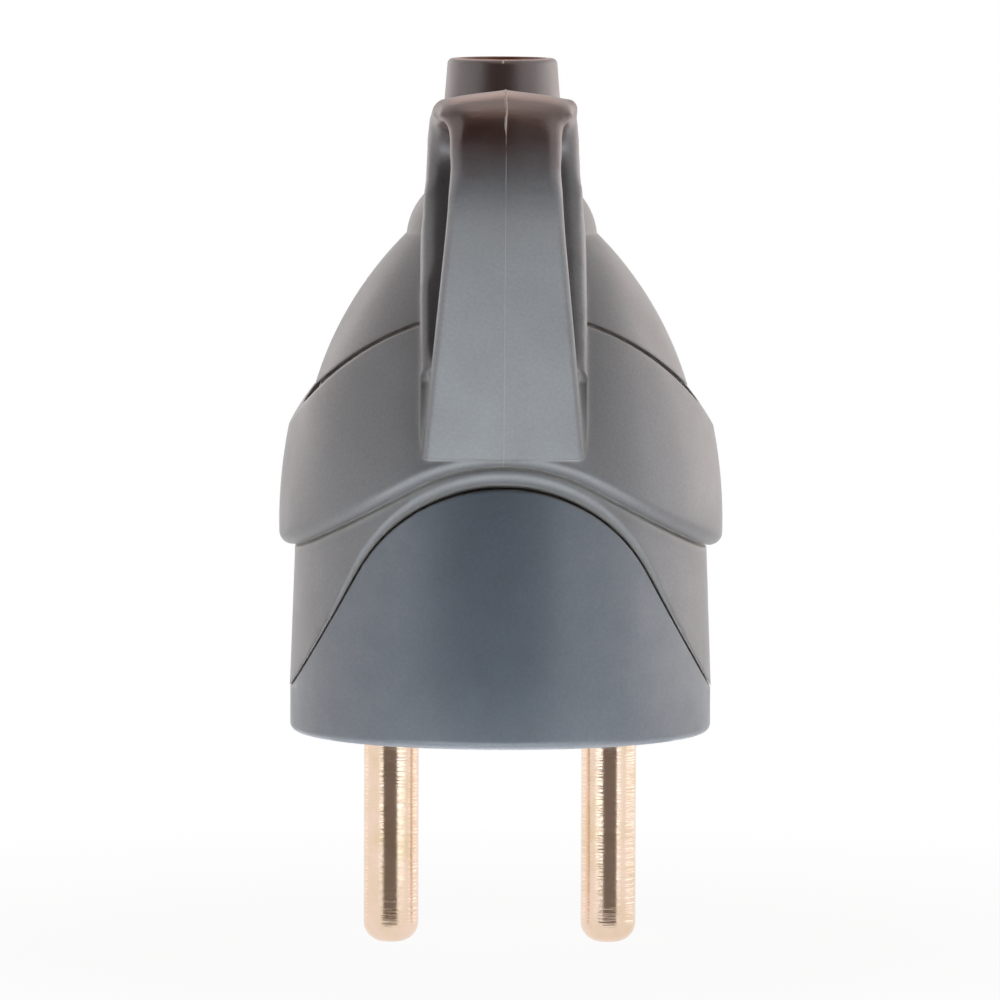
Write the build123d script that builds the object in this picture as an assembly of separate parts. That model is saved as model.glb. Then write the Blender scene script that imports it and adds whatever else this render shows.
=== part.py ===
from build123d import *
import os
from math import acos, atan2, cos, degrees, radians, sin, sqrt, tan

# Round two-pin mains plug with a pull ring.
# Millimetres. The origin is the middle of the plug's face, between the pins.
# +Z runs away from the wall outlet, the pins point to -Z and lie along X, and the ring faces -Y.

# Contacts, set by the wall outlet
pin_spacing = 19.0
pin_diameter = 4.8
pin_length = 18.6
pin_tip_round = 1.75
pin_neck_step = 0.35
earth_offset = 10.0
earth_bore = 4.9
earth_depth = 14.0

# Outer form of the hood, by radius and height above the face
total_height = 58.7
base_radius = 18.35
skirt_overhang = 0.05
skirt_draft_deg = 2.0
dome_foot_inset = 0.85
dome_foot_height = 21.3
bell_foot_radius = 8.3
bell_foot_height = 43.5
bell_bulge = 0.58
nose_foot_radius = 5.6
nose_foot_height = 47.9
nose_rim_radius = 4.75
nose_rim_round = 0.5
cable_bore = 7.7
cable_bore_length = 12.0
hood_wall = 2.3
skirt_wall = 2.0

# Arched joint between the carrier's tongues and the hood's skirt, seen from the front
tongue_height = 22.3
tongue_crown_radius = 14.0
tongue_flank_deg = 61.6
tongue_recess = 0.35
joint_gap = 0.12
skirt_edge_width = 1.8
skirt_edge_end = 0.975
skirt_edge_stations = 7
face_round = 0.7

# Collar round the hood, with an arched top edge and an arched bottom edge
collar_proud = 0.95
collar_waist_height = 18.3
collar_top_height = 37.4
collar_top_inset = 4.45
collar_top_arch_radius = 21.4
collar_low_height = 24.35
collar_low_arch_radius = 15.3
collar_low_slope_deg = 30.0
collar_low_round = 1.1
collar_lip = 0.85
collar_lip_round = 0.3
collar_gutter_depth = 0.6
collar_line_width = 0.2
collar_line_depth = 0.4

# Pull ring: a lug with a drafted teardrop hole, in a side view of depth (towards -Y) and height
ring_half_width = 7.15
ring_draft_deg = 7.0
ring_side_fall = 0.9
ring_side_start_drop = 18.5
ring_side_end_drop = 4.3
ring_top_radius = 4.8
ring_top_fall_deg = 6.0
ring_web_depth = 10.0
ring_edge_round = 0.9
strap_foot_rise = 0.65
strap_foot_round = 0.7
strap_proud = 0.2
strap_lean_deg = 20.0
strap_straight_drop = 13.2
strap_crown_radius = 19.0
strap_thickness = 3.3
strap_foot_half_width = 7.02
strap_waist_half_width = 4.75
strap_waist_drop = 0.8
strap_waist_rise = 0.35
strap_taper_bend = 70.0
strap_flare_radius = 3.95
strap_flare_deg = 70.0
strap_front_round = 0.8
strap_back_round = 0.6
hole_tip_rise = 7.4
hole_tip_round = 0.9
hole_back_drop = 7.5
hole_back_web = 4.0
hole_back_round = 2.6
hole_rim_round = 0.9

# Inside of the carrier
floor_thickness = 7.0
carrier_wall = 1.9
slide_gap = 0.1
seat_gap = 0.1
press_gap = 0.02
tower_wall = 1.6
tower_height = 7.5
terminal_diameter = 7.2
terminal_height = 9.0
terminal_edge = 0.4
wire_hole = 3.0
wire_hole_rise = 4.2
wire_slot_width = 4.0
earth_wall = 0.65
earth_mouth_depth = 1.2
earth_mouth_gap = 0.25
earth_mouth_chamfer = 0.6
earth_slit_width = 0.5
earth_slit_length = 8.0

# Screws, nut and cord clamp
screw_thread = 3.0
screw_head = 5.2
screw_head_height = 1.9
screw_slot_width = 0.8
screw_slot_depth = 1.0
terminal_screw_length = 5.0
fixing_thread = 3.5
fixing_head = 6.4
fixing_head_height = 2.2
fixing_recess = 3.0
fixing_hole_gap = 0.15
nut_width = 6.0
nut_thickness = 2.0
nut_rise = 6.0
nut_wall = 0.6
fixing_end_past_nut = 2.0
boss_side_wall = 1.5
cord_diameter = 7.0
clamp_bar_height = 5.0
clamp_rise = 4.0
clamp_saddle_depth = 4.9
clamp_bar_depth = 3.4
clamp_gap = 3.0
clamp_stem_width = 6.4
clamp_stem_depth = 2.7
clamp_side_wall = 1.2
clamp_screw_short = 1.0

# How far a cut runs past the face it opens, and how far a prism runs past the whole plug
past = 2.0
reach = 3 * base_radius

# Radii and heights that follow
pin_radius = pin_diameter / 2
pin_neck_radius = pin_radius + pin_neck_step
terminal_radius = terminal_diameter / 2
tower_radius = terminal_radius + slide_gap + tower_wall
terminal_top = floor_thickness + terminal_height
earth_radius = earth_bore / 2 + earth_wall
earth_bore_end = earth_mouth_depth + earth_depth
earth_seat = earth_bore_end + earth_wall
earth_top = earth_seat + terminal_height
rim_height = tongue_height
boss_foot = rim_height + joint_gap + seat_gap
skirt_radius = base_radius + skirt_overhang
collar_waist_radius = skirt_radius + collar_proud
dome_foot_radius = skirt_radius - dome_foot_inset
cable_radius = cable_bore / 2
bore_start = total_height - cable_bore_length
throat_height = bell_foot_height - hood_wall / 2
ring_side_start = total_height - ring_side_start_drop
ring_side_end = total_height - ring_side_end_drop
strap_foot_height = collar_low_height + strap_foot_rise
strap_straight_top = total_height - strap_straight_drop
hole_tip_height = strap_foot_height + hole_tip_rise
hole_back_height = total_height - hole_back_drop
screw_radius = screw_thread / 2
fixing_radius = fixing_thread / 2
fixing_hole_radius = fixing_radius + fixing_hole_gap

clamp_low = rim_height + clamp_rise
clamp_high = clamp_low + clamp_bar_height
clamp_middle = (clamp_low + clamp_high) / 2
clamp_front = -clamp_gap / 2 - clamp_saddle_depth
clamp_back = clamp_gap / 2 + clamp_bar_depth
clamp_screw_x = cord_diameter / 2 + clamp_side_wall + screw_radius
clamp_half_width = clamp_screw_x + screw_head / 2 + clamp_side_wall
clamp_screw_length = clamp_back - clamp_front - clamp_screw_short
boss_face = clamp_front - 3 * seat_gap
boss_half_width = nut_width / 2 + boss_side_wall
fixing_y = boss_face - nut_wall - nut_width / 2
nut_low = boss_foot + nut_rise
fixing_end = nut_low + nut_thickness + fixing_end_past_nut
boss_top = fixing_end + boss_side_wall

# Planes for outlines drawn from the plug's left side and from its front
side_view = Plane(origin=(0, 0, 0), x_dir=(0, -1, 0), z_dir=(-1, 0, 0))
front_view = Plane(origin=(0, 0, 0), x_dir=(1, 0, 0), z_dir=(0, -1, 0))


def arc_radius(inset, rise):
    """Radius of an arc that starts upright and bends in by inset over rise."""
    return (inset**2 + rise**2) / (2 * inset)


def bent_radius(foot_radius, bend, rise, wall=0.0):
    """Radius, at a rise above its foot, of a form that bends in with the given arc, less a wall."""
    return foot_radius - bend + sqrt((bend - wall) ** 2 - rise**2)


dome_bend = arc_radius(dome_foot_radius - bell_foot_radius, bell_foot_height - dome_foot_height)
collar_bend = arc_radius(collar_top_inset, collar_top_height - collar_waist_height)
side_bend = arc_radius(ring_side_fall, ring_side_end - ring_side_start)


def dome_radius(height, wall=0.0):
    """Radius of the hood's dome at a height, or of its inside when a wall is given."""
    return bent_radius(dome_foot_radius, dome_bend, height - dome_foot_height, wall)


def collar_radius(height, wall=0.0):
    """Radius of the collar at a height, less a wall."""
    return bent_radius(collar_waist_radius, collar_bend, height - collar_waist_height, wall)


def nose_radius(height):
    """Outer radius of the tapered nose at a height."""
    share = (height - nose_foot_height) / (total_height - nose_foot_height)
    return nose_foot_radius + share * (nose_rim_radius - nose_foot_radius)


def flank_height(crown_height, crown_radius, flank_deg, at_x):
    """Height of an arch's straight flank where it reaches a given x."""
    turn = radians(flank_deg)
    return crown_height - crown_radius * (1 - cos(turn)) - (at_x - crown_radius * sin(turn)) * tan(turn)


ear_tip = flank_height(tongue_height, tongue_crown_radius, tongue_flank_deg, base_radius)
skirt_top = collar_low_height + past
skirt_slope = tan(radians(skirt_draft_deg))


def skirt_radius_at(height):
    """Outer radius of the drafted skirt at a height."""
    return skirt_radius - (height - ear_tip) * skirt_slope


hood_bore_radius = skirt_radius_at(skirt_top) - skirt_wall
spigot_radius = hood_bore_radius - slide_gap
pocket_radius = spigot_radius - carrier_wall
tongue_radius = skirt_radius_at(skirt_top) - tongue_recess


def turned(*edges):
    """Solid of revolution about Z of a closed outline of radius and height."""
    return revolve(Plane.XZ * make_face(Curve() + list(edges)), Axis.Z)


def rod(radius, low, high, x=0.0, y=0.0):
    """Upright round bar between two heights."""
    bar = Cylinder(radius, high - low, align=(Align.CENTER, Align.CENTER, Align.MIN))
    return Pos(x, y, low) * bar


def block(x_low, x_high, y_low, y_high, z_low, z_high):
    """Box between two corners."""
    box = Box(x_high - x_low, y_high - y_low, z_high - z_low, align=(Align.MIN, Align.MIN, Align.MIN))
    return Pos(x_low, y_low, z_low) * box


def both_sides(shape):
    """A shape and its mirror image across the plug's middle plane."""
    return shape + mirror(shape, about=Plane.YZ)


def under_arch(crown_height, crown_radius, flank_deg, floor, gap=0.0):
    """Prism along Y of all that lies below an arch, with the arch moved outwards by a gap."""
    turn = radians(flank_deg)
    centre = crown_height - crown_radius
    radius = crown_radius + gap
    bend = (radius * sin(turn), centre + radius * cos(turn))
    end = (bend[0] + (bend[1] - floor) / tan(turn), floor)
    outline = Curve() + [
        ThreePointArc((-bend[0], bend[1]), (0, centre + radius), bend),
        Line(bend, end),
        Line(end, (-end[0], floor)),
        Line((-end[0], floor), (-bend[0], bend[1])),
    ]
    return extrude(front_view * make_face(outline), amount=reach, both=True)


def rim_edges(shape, cutter, result, radius_at):
    """Edges that a cut left on an outer wall whose radius at a height is known."""
    found = []
    for edge in new_edges(shape, cutter, combined=result):
        middle = edge @ 0.5
        if abs(sqrt(middle.X**2 + middle.Y**2) - radius_at(middle.Z)) < press_gap:
            found.append(edge)
    return found


def sharp_edges(shape, wanted, turn_deg):
    """Edges whose middle is wanted and whose two faces meet at more than a turn."""
    found = []
    faces = shape.faces()
    for edge in shape.edges():
        middle = edge @ 0.5
        if not wanted(middle):
            continue
        normals = [face.normal_at(middle) for face in faces if edge in face.edges()]
        if len(normals) == 2 and normals[0].get_angle(normals[1]) > turn_deg:
            found.append(edge)
    return found


def skirt_edge_section(x):
    """Section, at an x, of what the rounding takes off the skirt's arched edge."""
    turn = radians(tongue_flank_deg)
    radius = tongue_crown_radius + joint_gap
    lean = max(-sin(turn), min(sin(turn), x / radius))
    drop = sqrt(1 - lean**2)
    height = tongue_height - tongue_crown_radius + radius * drop - (x - radius * lean) * lean / drop
    point = Vector(x, -sqrt(skirt_radius_at(height) ** 2 - x**2), height)
    outward = Vector(point.X, point.Y, 0).normalized()
    downward = Vector(-lean, 0, -drop)
    along = outward.cross(downward).normalized()
    up_wall = outward.cross(along)
    into_wall = along.cross(downward)
    between = (up_wall + into_wall).normalized()
    half_angle = radians(up_wall.get_angle(into_wall) / 2)
    width = skirt_edge_width * (1 - (x / base_radius) ** 2)
    start = point + into_wall * width
    end = point + up_wall * width
    middle = point + between * width * (1 / cos(half_angle) - tan(half_angle))
    spare = skirt_edge_width / 6
    corner = point + (outward + downward) * spare
    return make_face(Curve() + [
        ThreePointArc(start, middle, end),
        Line(end, end + outward * spare),
        Line(end + outward * spare, corner),
        Line(corner, start + downward * spare),
        Line(start + downward * spare, start),
    ])


def skirt_edge_cut():
    """Rounding of the skirt's arched edge, widest at the crown and fading out at the ear tips."""
    sections = []
    for step in range(-skirt_edge_stations, skirt_edge_stations + 1):
        swing = radians(90 * step / skirt_edge_stations)
        sections.append(skirt_edge_section(skirt_edge_end * base_radius * sin(swing)))
    return loft(sections)


def hood_body():
    """Skirt, dome, bell and nose as one turned form, arched below to clear the carrier's tongues."""
    foot = -past
    skirt_foot = (skirt_radius_at(foot), foot)
    skirt_end = (skirt_radius_at(skirt_top), skirt_top)
    dome_foot = (dome_radius(skirt_top), skirt_top)
    dome_middle = (skirt_top + bell_foot_height) / 2
    bell_foot = (bell_foot_radius, bell_foot_height)
    nose_foot = (nose_foot_radius, nose_foot_height)
    rim = (nose_rim_radius, total_height)
    body = turned(
        Line((0, foot), skirt_foot),
        Line(skirt_foot, skirt_end),
        Line(skirt_end, dome_foot),
        ThreePointArc(dome_foot, (dome_radius(dome_middle), dome_middle), bell_foot),
        SagittaArc(bell_foot, nose_foot, -bell_bulge),
        Line(nose_foot, rim),
        Line(rim, (0, total_height)),
        Line((0, total_height), (0, foot)),
    )
    body = fillet(body.edges().group_by(Axis.Z)[-1], nose_rim_round)
    arch = under_arch(tongue_height, tongue_crown_radius, tongue_flank_deg, -reach, joint_gap)
    edge = skirt_edge_cut()
    return body - arch - edge - mirror(edge, about=Plane.XZ)


def collar_lines():
    """Fine grooves in the dome and the skirt that set off the collar's top and bottom edges."""
    low = dome_foot_height
    inset_foot = (dome_radius(low, collar_line_depth), low)
    inset_end = (bell_foot_radius - collar_line_depth, bell_foot_height)
    middle = (low + bell_foot_height) / 2
    dome_core = turned(
        Line((0, low), inset_foot),
        ThreePointArc(inset_foot, (dome_radius(middle, collar_line_depth), middle), inset_end),
        Line(inset_end, (0, bell_foot_height)),
        Line((0, bell_foot_height), (0, low)),
    )
    above = collar_top_arch(-collar_line_width) - collar_top_arch(collar_gutter_depth)
    above = above & block(-reach, reach, -reach, reach, collar_low_height, bell_foot_height)
    skirt_core = rod(skirt_radius_at(collar_waist_height) - collar_line_depth, 0, skirt_top + past)
    low_arch = (collar_low_height, collar_low_arch_radius, collar_low_slope_deg, -reach)
    below = under_arch(*low_arch, collar_line_width) - under_arch(*low_arch, -collar_line_width)
    below = below & block(-reach, reach, -reach, reach, ear_tip, skirt_top)
    return (above - dome_core) + (below - skirt_core)


def collar_form(low, high, wall=0.0):
    """Turned barrel of the collar between two heights, less a wall."""
    middle = (low + high) / 2
    foot = (collar_radius(low, wall), low)
    head = (collar_radius(high, wall), high)
    return turned(
        Line((0, low), foot),
        ThreePointArc(foot, (collar_radius(middle, wall), middle), head),
        Line(head, (0, high)),
        Line((0, high), (0, low)),
    )


def collar_top_arch(drop=0.0):
    """Prism along Y that bounds the collar above, lowered by a drop."""
    arch = Pos(0, collar_top_height - collar_top_arch_radius) * Circle(collar_top_arch_radius - drop)
    return extrude(front_view * arch, amount=reach, both=True)


def collar():
    """Band that stands proud of the hood, arched above and below, with a gutter behind its lip."""
    low = collar_waist_height - 2 * past
    high = collar_top_height + past
    blank = collar_form(low, high)
    low_arch = under_arch(collar_low_height, collar_low_arch_radius, collar_low_slope_deg, -reach)
    band = blank - low_arch
    band = fillet(rim_edges(blank, low_arch, band, collar_radius), collar_low_round)
    top_arch = collar_top_arch()
    topped = band & top_arch
    topped = fillet(rim_edges(band, top_arch, topped, collar_radius), collar_lip_round)
    gutter = collar_form(low, high, collar_lip) - collar_top_arch(collar_gutter_depth)
    return topped - gutter


# Points of the ring in the side view: the strap's foot and bend, and the tip and back of the finger hole
strap_slope = tan(radians(strap_lean_deg))
strap_way = Vector(sin(radians(strap_lean_deg)), cos(radians(strap_lean_deg)))
strap_inward = Vector(-strap_way.Y, strap_way.X) * strap_thickness
top_slope = tan(radians(ring_top_fall_deg))
strap_foot = Vector(collar_radius(strap_foot_height) + strap_proud, strap_foot_height)
strap_bend = strap_foot + Vector(strap_slope, 1) * (strap_straight_top - strap_foot_height)
hole_tip = strap_foot - Vector(strap_thickness / strap_way.Y, 0)
hole_tip = hole_tip + Vector(strap_slope, 1) * (hole_tip_height - strap_foot_height)
hole_back = Vector(nose_radius(hole_back_height) + hole_back_web, hole_back_height)
hole_rake = (hole_tip.X - hole_back.X) / (hole_back.Y - hole_tip.Y)
strap_crown = JernArc(strap_bend, strap_way, strap_crown_radius, strap_lean_deg)
ring_top = JernArc(strap_crown @ 1, (0, 1), ring_top_radius, 90 + ring_top_fall_deg)
hole_bend = strap_bend + strap_inward
hole_crown = JernArc(hole_bend, strap_way, strap_crown_radius - strap_thickness, strap_lean_deg)
hole_top = JernArc(hole_crown @ 1, (0, 1), ring_top_radius - strap_thickness, 90 + ring_top_fall_deg)


def ring_top_height(depth):
    """Height of the ring's sloping top at a depth."""
    return (ring_top @ 1).Y - ((ring_top @ 1).X - depth) * top_slope


def hole_top_height(depth):
    """Height of the finger hole's sloping top at a depth."""
    return (hole_top @ 1).Y - ((hole_top @ 1).X - depth) * top_slope


def ring_side(height):
    """Half width of the ring at a height."""
    return bent_radius(ring_half_width, side_bend, max(height - ring_side_start, 0.0))


def lug_outline():
    """Side view of the ring without its hole, run on below the strap's foot."""
    root = Vector(0, ring_top_height(0))
    web_foot = Vector(0, bell_foot_height)
    low_foot = strap_foot - Vector(strap_slope, 1) * past
    inner_foot = Vector(pocket_radius, low_foot.Y)
    return make_face(Curve() + [
        Line(low_foot, strap_bend),
        strap_crown,
        ring_top,
        Line(ring_top @ 1, root),
        Line(root, web_foot),
        Line(web_foot, inner_foot),
        Line(inner_foot, low_foot),
    ])


def hole_outline():
    """Side view of the teardrop finger hole."""
    rise = hole_top_height(hole_back.X) - hole_back.Y
    corner_rise = rise / (1 + hole_rake * top_slope)
    corner = hole_back + Vector(-hole_rake, 1) * corner_rise
    hole = make_face(Curve() + [
        Line(hole_tip, hole_bend),
        hole_crown,
        hole_top,
        Line(hole_top @ 1, corner),
        Line(corner, hole_tip),
    ])
    hole = fillet(hole.vertices().sort_by_distance(hole_tip)[0], hole_tip_round)
    return fillet(hole.vertices().sort_by_distance(corner)[0], hole_back_round)


def ring_trim():
    """Prism that rounds the ring's sides and foot in the front view and tapers it to the nose in plan."""
    high = total_height + past
    middle = (ring_side_start + high) / 2
    foot = (ring_half_width, strap_foot_height)
    start = (ring_half_width, ring_side_start)
    end = (ring_side(high), high)
    front = make_face(Curve() + [
        Line((0, strap_foot_height), foot),
        Line(foot, start),
        ThreePointArc(start, (ring_side(middle), middle), end),
        Line(end, (0, high)),
        Line((0, high), (0, strap_foot_height)),
    ])
    front = fillet(front.vertices().sort_by_distance(foot)[0], strap_foot_round)
    web = Polyline(
        (0, 0),
        (nose_rim_radius, 0),
        (ring_half_width, -ring_web_depth),
        (2 * ring_half_width, -ring_web_depth),
        (2 * ring_half_width, -reach),
        (0, -reach),
        close=True,
    )
    half = extrude(front_view * front, amount=reach) & extrude(make_face(web), amount=2 * total_height)
    return both_sides(half)


# The strap's edge in the front view: a straight taper, a bend to the waist and a flare to the ring's top
waist_low = Vector(strap_waist_half_width, (strap_crown @ 1).Y - strap_waist_drop)
waist_top = Vector(strap_waist_half_width, (strap_crown @ 1).Y + strap_waist_rise)
bend_centre = waist_low + Vector(strap_taper_bend, 0)
taper_run = bend_centre - Vector(strap_foot_half_width, strap_foot_height)
strap_taper = atan2(taper_run.Y, taper_run.X) - acos(strap_taper_bend / taper_run.length)
waist_bend = JernArc(waist_low, (0, -1), strap_taper_bend, degrees(strap_taper))
waist_flare = JernArc(waist_top, (0, 1), strap_flare_radius, -strap_flare_deg)


def waist_side(height):
    """Half width of the strap at a height."""
    rise = min(max(height - waist_top.Y, 0.0), strap_flare_radius)
    drop = max(waist_low.Y - height, 0.0)
    if drop > waist_low.Y - (waist_bend @ 1).Y:
        return strap_foot_half_width - (height - strap_foot_height) * tan(strap_taper)
    flare = strap_flare_radius - sqrt(strap_flare_radius**2 - rise**2)
    return strap_waist_half_width + flare + strap_taper_bend - sqrt(strap_taper_bend**2 - drop**2)


step_depth = hole_tip.X - hole_tip_round
ledge_rise = ring_half_width * tan(radians(ring_draft_deg))


def waist_cut():
    """What is taken off each side of the strap: its narrowing, in front of a line through the hole."""
    foot_height = strap_foot_height - past
    foot = Vector(waist_side(foot_height), foot_height)
    flare_end = waist_flare @ 1
    outside = 2 * ring_half_width
    front = make_face(Curve() + [
        Line(foot, waist_bend @ 1),
        waist_bend,
        Line(waist_low, waist_top),
        waist_flare,
        Line(flare_end, (outside, flare_end.Y)),
        Line((outside, flare_end.Y), (outside, foot_height)),
        Line((outside, foot_height), foot),
    ])
    hole_middle = ((hole_top @ 1).X + hole_back.X) / 2
    hole_front = (hole_crown @ 1).X
    limit = Polyline(
        (step_depth, 0),
        (step_depth, hole_tip.Y - hole_tip_round),
        (hole_tip.X, hole_tip.Y + 4 * hole_tip_round),
        (hole_middle, hole_top_height(hole_middle)),
        ((hole_top @ 1).X, hole_top_height((hole_top @ 1).X)),
        (hole_front, hole_top_height(hole_front) + ledge_rise),
        (reach, hole_top_height(reach) + ledge_rise),
        (reach, 0),
        close=True,
    )
    cut = extrude(front_view * front, amount=reach)
    cut = cut & extrude(side_view * make_face(limit), amount=reach, both=True)
    return both_sides(cut)


def ring():
    """Pull ring: a drafted lug with a teardrop hole, whose front is a strap that narrows to a waist."""
    hole_face = hole_outline()
    half = extrude(side_view * (lug_outline() - hole_face), amount=ring_half_width, taper=ring_draft_deg)
    hole = both_sides(extrude(side_view * hole_face, amount=ring_half_width, taper=-ring_draft_deg))
    lug = (both_sides(half) & ring_trim()) - waist_cut()

    def on_hole(point):
        return hole.distance_to(Vertex(point)) < press_gap

    def on_step(point):
        return abs(-point.Y - step_depth) < press_gap and point.Z < hole_tip.Y

    def on_ledge(point):
        return abs(point.Z - hole_top_height(-point.Y) - ledge_rise) < press_gap

    def on_waist(point):
        inside = strap_foot_height + past < point.Z and not on_ledge(point) and not on_step(point)
        return inside and abs(abs(point.X) - waist_side(point.Z)) < press_gap

    def on_side(point):
        return abs(abs(point.X) - ring_side(point.Z)) < press_gap

    def strap_back(point):
        return on_waist(point) and on_hole(point)

    def strap_front(point):
        straight = min(point.Z, strap_straight_top) - strap_foot.Y
        forward = -point.Y > strap_foot.X + straight * strap_slope - strap_thickness / 2
        return on_waist(point) and forward and not on_hole(point)

    def hole_rim(point):
        return on_side(point) and on_hole(point)

    def top_rim(point):
        above = point.Z > ring_top_height(-point.Y) - strap_thickness / 2
        return above and abs(point.X) > nose_rim_radius and not on_hole(point) and not on_ledge(point)

    corner = 2 * strap_lean_deg
    lug = fillet(sharp_edges(lug, strap_back, corner), strap_back_round)
    lug = fillet(sharp_edges(lug, strap_front, corner), strap_front_round)
    lug = fillet(sharp_edges(lug, hole_rim, corner), hole_rim_round)
    return fillet(sharp_edges(lug, top_rim, corner), ring_edge_round)


def hood_cavity():
    """Space inside the hood: a bore for the carrier, the dome's inside, the throat and the cord's bore."""
    low = -past
    high = total_height + past
    step = (dome_radius(boss_foot, hood_wall), boss_foot)
    throat = (dome_radius(throat_height, hood_wall), throat_height)
    middle = (boss_foot + throat_height) / 2
    return turned(
        Line((0, low), (hood_bore_radius, low)),
        Line((hood_bore_radius, low), (hood_bore_radius, boss_foot)),
        Line((hood_bore_radius, boss_foot), step),
        ThreePointArc(step, (dome_radius(middle, hood_wall), middle), throat),
        Line(throat, (cable_radius, bore_start)),
        Line((cable_radius, bore_start), (cable_radius, high)),
        Line((cable_radius, high), (0, high)),
        Line((0, high), (0, low)),
    )


def screw_boss(cavity):
    """Boss inside the hood that takes the fixing screw, with a slot that traps its square nut."""
    boss = block(-boss_half_width, boss_half_width, -reach, boss_face, boss_foot, boss_top) & cavity
    slot_half = nut_width / 2 + slide_gap
    nut_high = nut_low + nut_thickness
    slot = block(-slot_half, slot_half, fixing_y - slot_half, 0, nut_low - slide_gap, nut_high + slide_gap)
    return boss - rod(fixing_hole_radius, 0, fixing_end + slide_gap, y=fixing_y) - slot


def hood():
    """The grey moulding: body, collar and ring as one piece."""
    cavity = hood_cavity()
    return hood_body() - collar_lines() + collar() + ring() - cavity + screw_boss(cavity)


def carrier_shell():
    """Face, tongues, spigot and pocket of the carrier."""
    tongue_end = (tongue_radius, tongue_height + past)
    blank = turned(
        Line((0, 0), (base_radius, 0)),
        Line((base_radius, 0), (base_radius, ear_tip)),
        Line((base_radius, ear_tip), tongue_end),
        Line(tongue_end, (0, tongue_height + past)),
        Line((0, tongue_height + past), (0, 0)),
    )
    blank = fillet(blank.edges().group_by(Axis.Z)[0], face_round)
    shell = blank & under_arch(tongue_height, tongue_crown_radius, tongue_flank_deg, -reach)
    shell = shell + rod(spigot_radius, floor_thickness, rim_height)
    return shell - rod(pocket_radius, floor_thickness, rim_height + past)


def carrier():
    """The plug's face with its two tongues, terminal towers, screw sleeve and cord saddle."""
    body = carrier_shell()
    earth_tower_radius = earth_radius + slide_gap + tower_wall
    sleeve_radius = fixing_hole_radius + tower_wall
    stem = clamp_stem_width / 2
    stem_back = clamp_front + clamp_stem_depth
    tower_top = floor_thickness + tower_height
    for x in (-pin_spacing / 2, pin_spacing / 2):
        body = body + rod(tower_radius, 0.5 * floor_thickness, tower_top, x)
    body = body + rod(earth_tower_radius, 0.5 * floor_thickness, earth_seat, y=earth_offset)
    body = body + rod(sleeve_radius, 0.5 * floor_thickness, rim_height, y=fixing_y)
    body = body + block(-stem, stem, fixing_y, stem_back, 0.5 * floor_thickness, rim_height)
    body = body + block(-stem, stem, clamp_front, stem_back, 0.5 * floor_thickness, clamp_low + past)
    saddle = block(-clamp_half_width, clamp_half_width, clamp_front, -clamp_gap / 2, clamp_low, clamp_high)
    body = body + saddle - rod(cord_diameter / 2, clamp_low - past, clamp_high + past)
    body = body & (rod(spigot_radius, 0, reach) + rod(reach, 0, rim_height))
    slot = wire_slot_width / 2
    for x in (-pin_spacing / 2, pin_spacing / 2):
        body = body - rod(pin_neck_radius + press_gap, -past, floor_thickness + past, x)
        body = body - rod(terminal_radius + slide_gap, floor_thickness, reach, x)
        x_low, x_high = sorted((x, 0.0))
        body = body - block(x_low, x_high, -slot, slot, floor_thickness, tower_top + past)
        side = clamp_screw_x if x > 0 else -clamp_screw_x
        hole = Cylinder(screw_radius + press_gap, reach, rotation=(90, 0, 0))
        body = body - Pos(side, 0, clamp_middle) * hole
    body = body - rod(earth_radius + slide_gap, earth_mouth_depth, reach, y=earth_offset)
    mouth_radius = earth_bore / 2 + earth_mouth_gap
    mouth = rod(mouth_radius, -past, earth_mouth_depth + past)
    flare = Cone(mouth_radius + earth_mouth_chamfer, mouth_radius, earth_mouth_chamfer,
                 align=(Align.CENTER, Align.CENTER, Align.MIN))
    body = body - Pos(0, earth_offset, 0) * (mouth + flare)
    body = body - rod(fixing_hole_radius, -past, reach, y=fixing_y)
    head_radius = fixing_head / 2 + fixing_hole_gap
    return body - rod(head_radius, -past, fixing_recess, y=fixing_y)


def terminal_head(low, wire_turn_deg):
    """Round head of a contact with a wire hole across it and a tapped hole from its top."""
    high = low + terminal_height
    head = rod(terminal_radius, low, high)
    head = chamfer(head.edges().group_by(Axis.Z)[-1], terminal_edge)
    wire_height = low + wire_hole_rise
    wire = Rot(0, 0, wire_turn_deg) * Cylinder(wire_hole / 2, reach, rotation=(0, 90, 0))
    return head - Pos(0, 0, wire_height) * wire - rod(screw_radius + press_gap, wire_height, high + past)


def pin(x):
    """Turned contact pin: rounded free end, neck held in the face, and terminal head."""
    free = rod(pin_radius, -pin_length, past)
    free = fillet(free.edges().group_by(Axis.Z)[0], pin_tip_round)
    neck = rod(pin_neck_radius, 0, floor_thickness + past)
    foot = rod(terminal_radius, floor_thickness, floor_thickness + wire_hole_rise - wire_hole / 2)
    return Pos(x, 0, 0) * (free + neck + foot + terminal_head(floor_thickness, 0))


def earth_contact():
    """Slit socket for the wall outlet's earth pin, with its terminal head above."""
    tube = rod(earth_radius, earth_mouth_depth + slide_gap, earth_seat + past)
    bore = rod(earth_bore / 2, -past, earth_bore_end)
    slit_top = earth_mouth_depth + earth_slit_length
    slit = block(-earth_slit_width / 2, earth_slit_width / 2, -reach, reach, 0, slit_top)
    tube = tube - bore - slit - Rot(0, 0, 90) * slit
    head = terminal_head(earth_seat, 90)
    return Pos(0, earth_offset, 0) * (tube + head)


def slotted_screw(radius, length, head_radius, head_height):
    """Screw along Z: shank below zero, cheese head above it, slot along X."""
    head = rod(head_radius, 0, head_height)
    head = fillet(head.edges().group_by(Axis.Z)[-1], head_height / 5)
    shank = rod(radius, -length, head_height / 2)
    shank = chamfer(shank.edges().group_by(Axis.Z)[0], radius / 4)
    half = screw_slot_width / 2
    slot = block(-reach, reach, -half, half, head_height - screw_slot_depth, head_height + past)
    return head + shank - slot


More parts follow.
